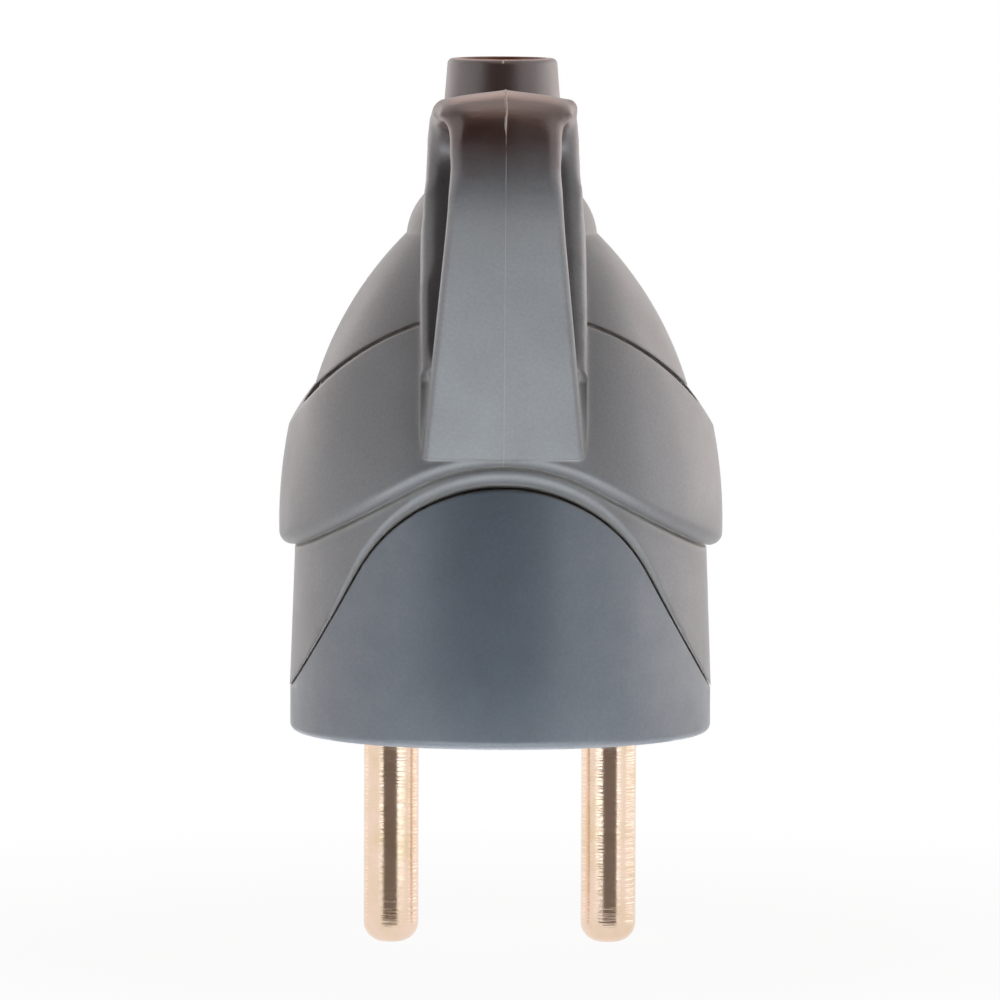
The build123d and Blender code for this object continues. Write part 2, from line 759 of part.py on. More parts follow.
def cord_clamp_bar():
    """Bar that presses the cord against the carrier's saddle."""
    bar = block(-clamp_half_width, clamp_half_width, clamp_gap / 2, clamp_back, clamp_low, clamp_high)
    bar = fillet(bar.edges().filter_by(Axis.Z), terminal_edge)
    bar = bar - rod(cord_diameter / 2, clamp_low - past, clamp_high + past)
    for x in (-clamp_screw_x, clamp_screw_x):
        hole = Cylinder(screw_radius + fixing_hole_gap, reach, rotation=(90, 0, 0))
        bar = bar - Pos(x, 0, clamp_middle) * hole
    return bar


def fixing_nut():
    """Square nut in the hood's boss."""
    half = nut_width / 2
    nut = block(-half, half, fixing_y - half, fixing_y + half, nut_low, nut_low + nut_thickness)
    return nut - rod(fixing_radius + press_gap, 0, reach, y=fixing_y)


terminal_screw = slotted_screw(screw_radius, terminal_screw_length, screw_head / 2, screw_head_height)
terminal_screws = Compound([
    Pos(-pin_spacing / 2, 0, terminal_top + press_gap) * terminal_screw,
    Pos(pin_spacing / 2, 0, terminal_top + press_gap) * terminal_screw,
    Pos(0, earth_offset, earth_top + press_gap) * terminal_screw,
])
clamp_screw = slotted_screw(screw_radius, clamp_screw_length, screw_head / 2, screw_head_height)
cord_clamp_screws = Compound([
    Pos(-clamp_screw_x, clamp_back + press_gap, clamp_middle) * Rot(-90, 0, 0) * clamp_screw,
    Pos(clamp_screw_x, clamp_back + press_gap, clamp_middle) * Rot(-90, 0, 0) * clamp_screw,
])
fixing_seat = fixing_recess - press_gap
fixing_screw = slotted_screw(fixing_radius, fixing_end - fixing_seat, fixing_head / 2, fixing_head_height)
fixing_screw = Pos(0, fixing_y, fixing_seat) * Rot(180, 0, 0) * fixing_screw

os.makedirs("parts", exist_ok=True)
export_step(hood(), "parts/hood.step")
export_step(carrier(), "parts/contact_carrier.step")
export_step(pin(-pin_spacing / 2), "parts/pin_left.step")
export_step(pin(pin_spacing / 2), "parts/pin_right.step")
export_step(earth_contact(), "parts/earth_contact.step")
export_step(terminal_screws, "parts/terminal_screws.step")
export_step(cord_clamp_bar(), "parts/cord_clamp_bar.step")
export_step(cord_clamp_screws, "parts/cord_clamp_screws.step")
export_step(fixing_screw, "parts/fixing_screw.step")
export_step(fixing_nut(), "parts/fixing_nut.step")
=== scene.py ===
import bpy
import bmesh
import numpy as np
from math import cos, radians, sin, tan
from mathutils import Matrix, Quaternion, Vector, noise


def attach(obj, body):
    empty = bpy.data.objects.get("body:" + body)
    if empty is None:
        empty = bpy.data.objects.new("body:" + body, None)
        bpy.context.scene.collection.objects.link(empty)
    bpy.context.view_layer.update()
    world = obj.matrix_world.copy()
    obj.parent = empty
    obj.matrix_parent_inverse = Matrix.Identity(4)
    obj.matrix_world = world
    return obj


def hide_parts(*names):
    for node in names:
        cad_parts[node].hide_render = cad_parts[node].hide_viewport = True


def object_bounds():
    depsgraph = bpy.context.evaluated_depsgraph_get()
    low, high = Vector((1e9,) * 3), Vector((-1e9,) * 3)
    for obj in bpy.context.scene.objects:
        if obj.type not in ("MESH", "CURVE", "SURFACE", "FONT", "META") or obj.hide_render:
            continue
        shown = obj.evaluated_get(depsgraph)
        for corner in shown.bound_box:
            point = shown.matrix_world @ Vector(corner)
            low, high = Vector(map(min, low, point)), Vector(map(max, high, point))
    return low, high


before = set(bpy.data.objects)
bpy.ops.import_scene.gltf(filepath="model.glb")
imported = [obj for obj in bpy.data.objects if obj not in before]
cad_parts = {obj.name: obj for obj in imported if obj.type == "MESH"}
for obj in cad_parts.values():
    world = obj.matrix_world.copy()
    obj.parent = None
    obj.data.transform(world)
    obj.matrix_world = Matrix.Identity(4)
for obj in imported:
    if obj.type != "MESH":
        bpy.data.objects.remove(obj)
cad_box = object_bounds()
scene = bpy.context.scene

MM = 0.001
MERGE = 1e-7
PIN_TIP_LEVEL = cad_box[0][2]
PIN_X = 9.5 * MM

# Bend from which an edge shades as a crease, on the two housing mouldings and on the smaller pieces
HOUSING_CREASE_DEG = 28
SMALL_PIECE_CREASE_DEG = 35

# The painted warm shade on the hood's top, the brown tone of the dim warm light from above: its heights,
# how far clouds shift them and where it fades
WARM_SHADE_LOW = 48.5 * MM
WARM_SHADE_HIGH = 53.5 * MM
WARM_SHADE_CLOUD = 1.2 * MM
WARM_SHADE_FULL_Y = -14.0 * MM
WARM_SHADE_FADED_Y = -9.0 * MM

# The nose's bore, and the heights between which the painted recess shade fades out on the nose
BORE_INSIDE = 4.2 * MM
BORE_OUTSIDE = 4.5 * MM
BORE_LOW = 50.0 * MM
BORE_HIGH = 53.0 * MM
SHADE_FADE_LOW = 52.5 * MM
SHADE_FADE_HIGH = 55.0 * MM

# Places of the ring's rounding, in millimetres: half widths, distances ahead of the axis and heights
RING_MIDDLE = 2.5
RING_EDGE = 5.0
RING_SIDE = 8.0
RING_BACK = 7.5
CORNER_BACK = 8.0
CORNER_FRONT = 10.0
NECK_LOW = 47.5
NECK_HIGH = 50.5
CORNER_LOW = 53.0
CORNER_HIGH = 54.3
RIM_INNER = 4.4
RIM_OUTER = 5.2
RIM_LOW = 31.0
RIM_HIGH = 34.0
BELL_AHEAD = 14.4
BELL_LEVEL = 35.0
BELL_SLOPE = 0.63
OFF_BELL = 1.0
CLEAR_OF_BELL = 2.0
RIM_FULL_AHEAD = 19.0
RIM_LAST_AHEAD = 20.5

# How strongly the ring is rounded
NECK_SHARE = 0.35
CORNER_SHARE = 0.65
RIM_SHARE = 0.4
ROUNDING_EDGE = 0.32 * MM
ROUNDING_SPLITS = 7
ROUNDING_PASSES = 150
ROUNDING_STEP = 0.5

# The parting line's flash, faint on the strap and full on the ring's top
FLASH_FAINT_LEVEL = 53.0 * MM
FLASH_FULL_LEVEL = 53.8 * MM
FLASH_FAINT_RISE = 0.02 * MM
FLASH_ADDED_RISE = 0.07 * MM
FLASH_FAINT_HALF = 0.05 * MM
FLASH_ADDED_HALF = 0.08 * MM
FLASH_STRAY = 0.1 * MM
FLASH_SINK = 0.03 * MM
STRAP_FRONT_Y = -18 * MM
NOSE_FRONT_Y = -4 * MM
CREST_LEVEL = 50 * MM

# The studio
FLOOR_GAP = 0.1 * MM
FLOOR_RADIUS = 4.0
SHADOW_NEAR = 0.03
SHADOW_FAR = 0.1
CARD_GAP = 0.2 * MM
FRAME_WIDTH = 87.3 * MM
SENSOR_WIDTH = 36.0


def srgb(red, green, blue):
    """Linear colour of a value read as 0 to 255 on screen."""
    linear = []
    for value in (red, green, blue):
        share = value / 255
        linear.append(share / 12.92 if share <= 0.04045 else ((share + 0.055) / 1.055) ** 2.4)
    return (linear[0], linear[1], linear[2], 1.0)


def new_group(name, inputs, outputs):
    """Empty shader node group with named sockets."""
    group = bpy.data.node_groups.new(name, "ShaderNodeTree")
    for label, kind, value in inputs:
        socket = group.interface.new_socket(label, in_out="INPUT", socket_type=kind)
        socket.default_value = value
    for label, kind in outputs:
        group.interface.new_socket(label, in_out="OUTPUT", socket_type=kind)
    start = group.nodes.new("NodeGroupInput")
    end = group.nodes.new("NodeGroupOutput")
    return group, start, end


def add(tree, kind, **settings):
    """New node with its settings made."""
    node = tree.nodes.new(kind)
    for label, value in settings.items():
        setattr(node, label, value)
    return node


def join(tree, source, target):
    """Link from one socket to another."""
    tree.links.new(source, target)


def sum_of(tree, operation, first, second):
    """Math node of two sockets or numbers."""
    node = add(tree, "ShaderNodeMath", operation=operation)
    for place, value in enumerate((first, second)):
        if isinstance(value, (int, float)):
            node.inputs[place].default_value = value
        else:
            join(tree, value, node.inputs[place])
    return node.outputs[0]


def stretch(tree, value, low, high, to_low, to_high):
    """Map Range node, clamped."""
    node = add(tree, "ShaderNodeMapRange", clamp=True)
    join(tree, value, node.inputs["Value"])
    node.inputs["From Min"].default_value = low
    node.inputs["From Max"].default_value = high
    node.inputs["To Min"].default_value = to_low
    node.inputs["To Max"].default_value = to_high
    return node.outputs["Result"]


def tint(tree, factor, first, second, blend="MIX"):
    """Mix node of two colours, each a socket or a colour."""
    node = add(tree, "ShaderNodeMix", data_type="RGBA", blend_type=blend)
    if isinstance(factor, (int, float)):
        node.inputs[0].default_value = factor
    else:
        join(tree, factor, node.inputs[0])
    for place, value in ((6, first), (7, second)):
        if isinstance(value, tuple):
            node.inputs[place].default_value = value
        else:
            join(tree, value, node.inputs[place])
    return node.outputs[2]


def object_place(tree):
    """A place in the part, in its own frame."""
    return add(tree, "ShaderNodeTexCoord").outputs["Object"]


def axes_of(tree, place):
    """The three axes of a place, as sockets named X, Y and Z."""
    axes = add(tree, "ShaderNodeSeparateXYZ")
    join(tree, place, axes.inputs["Vector"])
    return axes.outputs


def object_noise(tree, place, scale, detail):
    """Noise on a place in the part, by its scale per metre."""
    node = add(tree, "ShaderNodeTexNoise")
    join(tree, place, node.inputs["Vector"])
    node.inputs["Scale"].default_value = scale
    node.inputs["Detail"].default_value = detail
    node.inputs["Roughness"].default_value = 0.55
    return node.outputs["Fac"]


def scaled_noise(tree, place, scale, detail):
    """Noise on a place in the part, by the scale that a socket gives."""
    node = add(tree, "ShaderNodeTexNoise")
    join(tree, place, node.inputs["Vector"])
    join(tree, scale, node.inputs["Scale"])
    node.inputs["Detail"].default_value = detail
    return node.outputs["Fac"]


def moulding_grain_group():
    """Fine matte skin of a moulding: grain height, a slow mottle, fine speckle and rare specks."""
    group, start, end = new_group(
        "moulding_grain",
        [("Grain Scale", "NodeSocketFloat", 5200.0), ("Mottle Scale", "NodeSocketFloat", 160.0)],
        [
            ("Height", "NodeSocketFloat"),
            ("Mottle", "NodeSocketFloat"),
            ("Speckle", "NodeSocketFloat"),
            ("Speck", "NodeSocketFloat"),
        ],
    )
    place = object_place(group)
    grain = scaled_noise(group, place, start.outputs["Grain Scale"], detail=3.0)
    mottle = scaled_noise(group, place, start.outputs["Mottle Scale"], detail=5.0)
    speckle = object_noise(group, place, scale=3800.0, detail=2.0)
    speck = object_noise(group, place, scale=2600.0, detail=1.0)
    join(group, grain, end.inputs["Height"])
    join(group, stretch(group, mottle, 0.3, 0.7, 0.0, 1.0), end.inputs["Mottle"])
    join(group, stretch(group, speckle, 0.25, 0.75, 0.0, 1.0), end.inputs["Speckle"])
    join(group, stretch(group, speck, 0.7, 0.76, 0.0, 1.0), end.inputs["Speck"])
    return group


def worn_edge_group():
    """Mask of edges that handling has rubbed, and the softened normal there."""
    group, start, end = new_group(
        "worn_edge",
        [("Reach", "NodeSocketFloat", 0.5 * MM)],
        [("Edge", "NodeSocketFloat"), ("Normal", "NodeSocketVector")],
    )
    soft = add(group, "ShaderNodeBevel", samples=6)
    join(group, start.outputs["Reach"], soft.inputs["Radius"])
    face = add(group, "ShaderNodeNewGeometry")
    turn = add(group, "ShaderNodeVectorMath", operation="DOT_PRODUCT")
    join(group, soft.outputs["Normal"], turn.inputs[0])
    join(group, face.outputs["Normal"], turn.inputs[1])
    edge = stretch(group, turn.outputs["Value"], 0.985, 0.8, 0.0, 1.0)
    rub = object_noise(group, object_place(group), scale=900.0, detail=4.0)
    broken = sum_of(group, "MULTIPLY", edge, stretch(group, rub, 0.35, 0.6, 0.35, 1.0))
    join(group, broken, end.inputs["Edge"])
    join(group, soft.outputs["Normal"], end.inputs["Normal"])
    return group


def recess_group():
    """Masks from ambient occlusion: narrow grooves made paler, partly as pale dust and partly as painted
    light that lifts their shade, and painted shade in wide recesses.
    """
    group, start, end = new_group(
        "recess",
        [("Groove Width", "NodeSocketFloat", 0.9 * MM), ("Recess Width", "NodeSocketFloat", 7.0 * MM)],
        [("Dust_And_Painted_Light", "NodeSocketFloat"), ("Recess_Shade", "NodeSocketFloat")],
    )
    # The first mask pales narrow grooves, partly as dust and partly as painted light against their shade;
    # the second is painted shade in wide recesses
    for label, width, clear, closed in (
        ("Dust_And_Painted_Light", "Groove Width", 0.92, 0.45),
        ("Recess_Shade", "Recess Width", 0.95, 0.4),
    ):
        open_sky = add(group, "ShaderNodeAmbientOcclusion", samples=8)
        join(group, start.outputs[width], open_sky.inputs["Distance"])
        join(group, stretch(group, open_sky.outputs["AO"], clear, closed, 0.0, 1.0), end.inputs[label])
    return group


def new_material(name):
    """Material with an empty tree but for its shader and output."""
    material = bpy.data.materials.new(name)
    material.use_nodes = True
    tree = material.node_tree
    tree.nodes.clear()
    shader = add(tree, "ShaderNodeBsdfPrincipled")
    end = add(tree, "ShaderNodeOutputMaterial")
    join(tree, shader.outputs["BSDF"], end.inputs["Surface"])
    return material, tree, shader


def use_group(tree, group, **values):
    """A group placed in a material, with its own values."""
    node = add(tree, "ShaderNodeGroup")
    node.node_tree = group
    for label, value in values.items():
        node.inputs[label.replace("_", " ")].default_value = value
    return node


def bump_of(tree, shader, height, strength, distance, normal=None):
    """Bump on a shader, over a normal where one is given."""
    bump = add(tree, "ShaderNodeBump")
    bump.inputs["Strength"].default_value = strength
    bump.inputs["Distance"].default_value = distance
    join(tree, height, bump.inputs["Height"])
    if normal is not None:
        join(tree, normal, bump.inputs["Normal"])
    join(tree, bump.outputs["Normal"], shader.inputs["Normal"])


grain_group = moulding_grain_group()
edge_group = worn_edge_group()
recess_masks = recess_group()


def painted_warm_shade(tree):
    """Mask of the painted warm shade on the ring's top and the nose, the brown tone of the dim warm light
    from above.
    """
    place = object_place(tree)
    axes = axes_of(tree, place)
    patches = object_noise(tree, place, scale=260.0, detail=3.0)
    cloud = stretch(tree, patches, 0.3, 0.7, -WARM_SHADE_CLOUD, WARM_SHADE_CLOUD)
    high = stretch(tree, sum_of(tree, "ADD", axes["Z"], cloud), WARM_SHADE_LOW, WARM_SHADE_HIGH, 0.0, 1.0)
    ahead = stretch(tree, axes["Y"], WARM_SHADE_FULL_Y, WARM_SHADE_FADED_Y, 1.0, 0.5)
    return sum_of(tree, "MULTIPLY", high, ahead)


def bore_warm_light(tree):
    """Mask of the nose's bore, where the cord goes in, which is painted with the warm light it catches."""
    axes = axes_of(tree, object_place(tree))
    level = add(tree, "ShaderNodeCombineXYZ")
    join(tree, axes["X"], level.inputs["X"])
    join(tree, axes["Y"], level.inputs["Y"])
    from_axis = add(tree, "ShaderNodeVectorMath", operation="LENGTH")
    join(tree, level.outputs["Vector"], from_axis.inputs[0])
    inside = stretch(tree, from_axis.outputs["Value"], BORE_OUTSIDE, BORE_INSIDE, 0.0, 1.0)
    high = stretch(tree, axes["Z"], BORE_LOW, BORE_HIGH, 0.0, 1.0)
    return sum_of(tree, "MULTIPLY", inside, high)


def nose_shade_fade(tree):
    """Share of the painted recess shade kept at a height: it fades out on the nose above the ring."""
    axes = axes_of(tree, object_place(tree))
    return stretch(tree, axes["Z"], SHADE_FADE_LOW, SHADE_FADE_HIGH, 1.0, 0.25)


def moulded_plastic(name, base, dark, light, grain_depth, mottle_scale, warm_shade_tone=None):
    """Moulded plastic with grain, mottle, specks and rubbed edges, painted shade in wide recesses, narrow
    grooves made paler by dust and painted light, and, if a warm tone is given, painted warm shade on the
    top and painted warm light in the bore.
    """
    # Painted shade tone, multiplied in where wide recesses hold shade
    painted_shade_tone = (0.45, 0.43, 0.43, 1.0)
    # Pale tone of narrow grooves: dust, and painted light that lifts their shade
    dust_and_painted_light = srgb(222, 220, 216)
    bore_painted_light = srgb(190, 120, 90)
    speck_share, rub_share, dust_and_light_share = 0.12, 0.4, 0.85
    dull, polished = 0.41, 0.31
    material, tree, shader = new_material(name)
    grain = use_group(tree, grain_group, Mottle_Scale=mottle_scale)
    edge = use_group(tree, edge_group, Reach=0.35 * MM)
    recess = use_group(tree, recess_masks)
    colour = tint(tree, grain.outputs["Mottle"], dark, base)
    shade = stretch(tree, grain.outputs["Speckle"], 0.0, 1.0, 0.9, 1.1)
    colour = tint(tree, 1.0, colour, shade, "MULTIPLY")
    recess_shade = recess.outputs["Recess_Shade"]
    if warm_shade_tone:
        # Painted warm shade: the brown tone of the dim warm light from above, on the ring's top and the
        # nose
        colour = tint(tree, painted_warm_shade(tree), colour, warm_shade_tone)
        # Painted warm light: a pale orange brown inside the nose's bore
        colour = tint(tree, bore_warm_light(tree), colour, bore_painted_light)
        # The painted recess shade fades out on the nose above the ring
        recess_shade = sum_of(tree, "MULTIPLY", recess_shade, nose_shade_fade(tree))
    colour = tint(tree, sum_of(tree, "MULTIPLY", grain.outputs["Speck"], speck_share), colour, light)
    colour = tint(tree, sum_of(tree, "MULTIPLY", edge.outputs["Edge"], rub_share), colour, light)
    # Painted shade: the colour is darkened in wide recesses by the ambient occlusion
    colour = tint(tree, recess_shade, colour, tint(tree, 1.0, colour, painted_shade_tone, "MULTIPLY"))
    # Narrow grooves made paler: partly pale dust, partly painted light that lifts their shade
    colour = tint(tree, sum_of(tree, "MULTIPLY", recess.outputs["Dust_And_Painted_Light"], dust_and_light_share), colour, dust_and_painted_light)
    join(tree, colour, shader.inputs["Base Color"])
    join(tree, stretch(tree, grain.outputs["Mottle"], 0.0, 1.0, dull, polished), shader.inputs["Roughness"])
    bump_of(tree, shader, grain.outputs["Height"], 0.35, grain_depth, edge.outputs["Normal"])
    shader.inputs["Specular IOR Level"].default_value = 1.0
    shader.inputs["IOR"].default_value = 1.55
    return material


def pin_brass():
    """Pale turned brass: fine rings round the pin and slow tarnish."""
    bright = (0.87, 0.67, 0.54, 1.0)
    dull = (0.78, 0.6, 0.42, 1.0)
    material, tree, shader = new_material("pin_brass")
    place = object_place(tree)
    along = add(tree, "ShaderNodeMapping")
    along.inputs["Scale"].default_value = (260.0, 260.0, 5200.0)
    join(tree, place, along.inputs["Vector"])
    rings = object_noise(tree, along.outputs["Vector"], scale=1.0, detail=3.0)
    tarnish = stretch(tree, object_noise(tree, place, scale=350.0, detail=4.0), 0.4, 0.7, 0.0, 1.0)
    join(tree, tint(tree, tarnish, bright, dull), shader.inputs["Base Color"])
    join(tree, stretch(tree, rings, 0.35, 0.65, 0.12, 0.22), shader.inputs["Roughness"])
    bump_of(tree, shader, rings, 1.0, 0.04 * MM)
    shader.inputs["Metallic"].default_value = 1.0
    return material


def plated_steel():
    """Zinc plated steel of the screws and the nut."""
    material, tree, shader = new_material("plated_steel")
    bloom = object_noise(tree, object_place(tree), scale=700.0, detail=5.0)
    patches = stretch(tree, bloom, 0.35, 0.65, 0.0, 1.0)
    join(tree, tint(tree, patches, srgb(190, 190, 188), srgb(160, 160, 162)), shader.inputs["Base Color"])
    join(tree, stretch(tree, bloom, 0.3, 0.7, 0.3, 0.45), shader.inputs["Roughness"])
    shader.inputs["Metallic"].default_value = 1.0
    return material


def flash_skin():
    """Thin plastic of the flash: grey on the strap; pale and rubbed white on the ring's top, partly its own
    pale tone and partly a painted highlight of the light the thin fin catches from behind.
    """
    faint = srgb(158, 156, 156)
    material, tree, shader = new_material("flash_plastic")
    place = object_place(tree)
    rubbed = stretch(tree, object_noise(tree, place, scale=1400.0, detail=3.0), 0.35, 0.65, 0.0, 1.0)
    # Partly painted highlight: the flash on the ring's top is made pale for the light it catches from
    # behind
    pale_and_highlit = tint(tree, rubbed, srgb(226, 212, 204), srgb(250, 243, 238))
    on_ring = stretch(tree, axes_of(tree, place)["Z"], FLASH_FAINT_LEVEL, FLASH_FULL_LEVEL, 0.0, 1.0)
    join(tree, tint(tree, on_ring, faint, pale_and_highlit), shader.inputs["Base Color"])
    join(tree, stretch(tree, rubbed, 0.0, 1.0, 0.4, 0.6), shader.inputs["Roughness"])
    shader.inputs["Specular IOR Level"].default_value = 1.0
    shader.inputs["IOR"].default_value = 1.8
    shader.inputs["Sheen Weight"].default_value = 0.8
    shader.inputs["Sheen Roughness"].default_value = 0.6
    return material


hood_plastic = moulded_plastic(
    "hood_plastic",
    base=srgb(137, 137, 140),
    dark=srgb(129, 128, 130),
    light=srgb(176, 172, 170),
    grain_depth=0.03 * MM,
    mottle_scale=160.0,
    # Tone of the painted warm shade on the hood's top
    warm_shade_tone=srgb(116, 90, 84),
)
carrier_plastic = moulded_plastic(
    "carrier_plastic",
    base=srgb(119, 126, 136),
    dark=srgb(111, 119, 130),
    light=srgb(158, 163, 170),
    grain_depth=0.02 * MM,
    mottle_scale=380.0,
)
flash_plastic = flash_skin()
brass = pin_brass()
steel = plated_steel()


def ramp(value, low, high):
    """Share from 0 to 1 of a value's way between two levels, eased at both ends."""
    share = min(max((value - low) / (high - low), 0.0), 1.0)
    return share * share * (3 - 2 * share)


def ring_softness(place):
    """Share of the rounding at a place: the ring's neck and top corners, and the finger hole's back rim."""
    across, ahead, up = abs(place.x) / MM, -place.y / MM, place.z / MM
    if across < RING_MIDDLE or across > RING_SIDE or ahead < RING_BACK or up < RIM_LOW:
        return 0.0
    neck = NECK_SHARE * ramp(up, NECK_LOW, NECK_HIGH)
    top = CORNER_SHARE * ramp(up, CORNER_LOW, CORNER_HIGH)
    corner = ramp(across, RING_MIDDLE, RING_EDGE) * ramp(ahead, CORNER_BACK, CORNER_FRONT) * (neck + top)
    bell = BELL_AHEAD - BELL_SLOPE * (up - BELL_LEVEL)
    rim = ramp(across, RIM_INNER, RIM_OUTER) * ramp(up, RIM_LOW, RIM_HIGH)
    rim = rim * ramp(ahead - bell, OFF_BELL, CLEAR_OF_BELL) * ramp(-ahead, -RIM_LAST_AHEAD, -RIM_FULL_AHEAD)
    return max(corner, RIM_SHARE * rim)


def soften_ring(shape):
    """Round the ring's corners in the hood's mesh, with finer faces there first."""
    for step in range(ROUNDING_SPLITS):
        long = [
            edge for edge in shape.edges
            if edge.calc_length() > ROUNDING_EDGE
            and max(ring_softness(point.co) for point in edge.verts) > 0
        ]
        if not long:
            break
        bmesh.ops.subdivide_edges(shape, edges=long, cuts=1)
        bmesh.ops.triangulate(shape, faces=[face for face in shape.faces if len(face.verts) > 3])
    shape.verts.index_update()
    share = np.array([ROUNDING_STEP * ring_softness(point.co) for point in shape.verts])
    pairs = np.array([[point.index for point in edge.verts] for edge in shape.edges])
    pairs = pairs[(share[pairs] > 0).any(axis=1)]
    places = np.array([point.co for point in shape.verts])
    count = np.maximum(np.bincount(pairs.ravel(), minlength=len(places)), 1)[:, None]
    for step in range(ROUNDING_PASSES):
        around = np.zeros_like(places)
        np.add.at(around, pairs[:, 0], places[pairs[:, 1]])
        np.add.at(around, pairs[:, 1], places[pairs[:, 0]])
        places += share[:, None] * (around / count - places)
    for point, place in zip(shape.verts, places):
        if share[point.index] > 0:
            point.co = place


def smooth_piece(node, name, material, crease_deg, shaping=None):
    """Merged copy of a CAD node that shades smoothly up to a crease, in the node's place."""
    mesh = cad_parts[node].data.copy()
    mesh.name = name
    shape = bmesh.new()
    shape.from_mesh(mesh)
    bmesh.ops.remove_doubles(shape, verts=shape.verts, dist=MERGE)
    bmesh.ops.dissolve_degenerate(shape, edges=shape.edges, dist=MERGE)
    if shaping:
        shaping(shape)
    for face in shape.faces:
        face.smooth = True
    for edge in shape.edges:
        edge.smooth = edge.calc_face_angle(0.0) < radians(crease_deg)
    shape.to_mesh(mesh)
    shape.free()
    mesh.materials.clear()
    mesh.materials.append(material)
    piece = bpy.data.objects.new(name, mesh)
    scene.collection.objects.link(piece)
    shading = piece.modifiers.new("even_shading", "WEIGHTED_NORMAL")
    shading.keep_sharp = True
    shading.weight = 60
    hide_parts(node)
    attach(piece, "root")
    return piece


hood_moulding = smooth_piece(
    "hood", "hood_moulding", hood_plastic, HOUSING_CREASE_DEG, soften_ring
)
smooth_piece("contact_carrier", "carrier_moulding", carrier_plastic, HOUSING_CREASE_DEG)
for node, name, slot, material in (
    ("pin_left", "pin_left_turned", "brass", brass),
    ("pin_right", "pin_right_turned", "brass", brass),
    ("earth_contact", "earth_socket_turned", "brass", brass),
    ("terminal_screws", "terminal_screws_finished", "steel", steel),
    ("cord_clamp_bar", "cord_clamp_bar_finished", "carrier_plastic", carrier_plastic),
    ("cord_clamp_screws", "cord_clamp_screws_finished", "steel", steel),
    ("fixing_screw", "fixing_screw_finished", "steel", steel),
    ("fixing_nut", "fixing_nut_finished", "steel", steel),
):
    smooth_piece(node, name, material, SMALL_PIECE_CREASE_DEG)


def parting_flash():
    """Thin ragged line of flash where the mould's halves met, on the ring's top, the strap and the nose."""
    shape = bmesh.new()
    shape.from_mesh(hood_moulding.data)
    everything = shape.verts[:] + shape.edges[:] + shape.faces[:]
    cut = bmesh.ops.bisect_plane(shape, geom=everything, dist=MERGE, plane_co=(0, 0, 0), plane_no=(1, 0, 0))
    shape.normal_update()
    ridge = bmesh.new()
    rows = {}

    def outside(point):
        front = point.co.y < STRAP_FRONT_Y and point.normal.y < -0.2
        crest = point.co.z > CREST_LEVEL and point.co.y < NOSE_FRONT_Y and point.normal.z > 0.3
        return front or crest

    def row(point):
        if point.index not in rows:
            on_ring = ramp(point.co.z, FLASH_FAINT_LEVEL, FLASH_FULL_LEVEL)
            ragged = 0.65 + 0.5 * noise.noise(point.co * 900.0) + 0.3 * noise.noise(point.co * 3100.0)
            rise = (FLASH_FAINT_RISE + FLASH_ADDED_RISE * on_ring) * max(ragged, 0.1)
            half = FLASH_FAINT_HALF + FLASH_ADDED_HALF * on_ring
            stray = Vector((FLASH_STRAY * on_ring * noise.noise(point.co * 1500.0), 0, 0))
            apex = point.co + point.normal * rise + stray
            apex.y = max(apex.y, cad_box[0][1])
            apex.z = min(apex.z, cad_box[1][2])
            foot = point.co - point.normal * FLASH_SINK + stray
            side = Vector((half, 0, 0))
            rows[point.index] = [ridge.verts.new(place) for place in (foot - side, apex, foot + side)]
        return rows[point.index]

    shape.verts.index_update()
    for edge in cut["geom_cut"]:
        if isinstance(edge, bmesh.types.BMEdge) and all(outside(point) for point in edge.verts):
            near, far = row(edge.verts[0]), row(edge.verts[1])
            for place in (0, 1):
                slope = ridge.faces.new((near[place], near[place + 1], far[place + 1], far[place]))
                slope.normal_update()
                if slope.normal.dot(edge.verts[0].normal) < 0:
                    slope.normal_flip()
    mesh = bpy.data.meshes.new("parting_flash")
    ridge.to_mesh(mesh)
    ridge.free()
    shape.free()
    mesh.materials.append(flash_plastic)
    piece = bpy.data.objects.new("parting_flash", mesh)
    scene.collection.objects.link(piece)
    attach(piece, "root")


parting_flash()


def seen_directly(tree):
    """Mask of the rays of the camera, of reflections and of clear material."""
    path = add(tree, "ShaderNodeLightPath")
    seen = sum_of(tree, "MAXIMUM", path.outputs["Is Camera Ray"], path.outputs["Is Glossy Ray"])
    return sum_of(tree, "MAXIMUM", seen, path.outputs["Is Transmission Ray"])


def mix_at_output(tree, share, first, second):
    """Two shaders mixed by a share, at a material's output."""
    blend = add(tree, "ShaderNodeMixShader")
    for place, source in enumerate((share, first, second)):
        join(tree, source, blend.inputs[place])
    end = next(node for node in tree.nodes if node.type == "OUTPUT_MATERIAL")
    join(tree, blend.outputs["Shader"], end.inputs["Surface"])


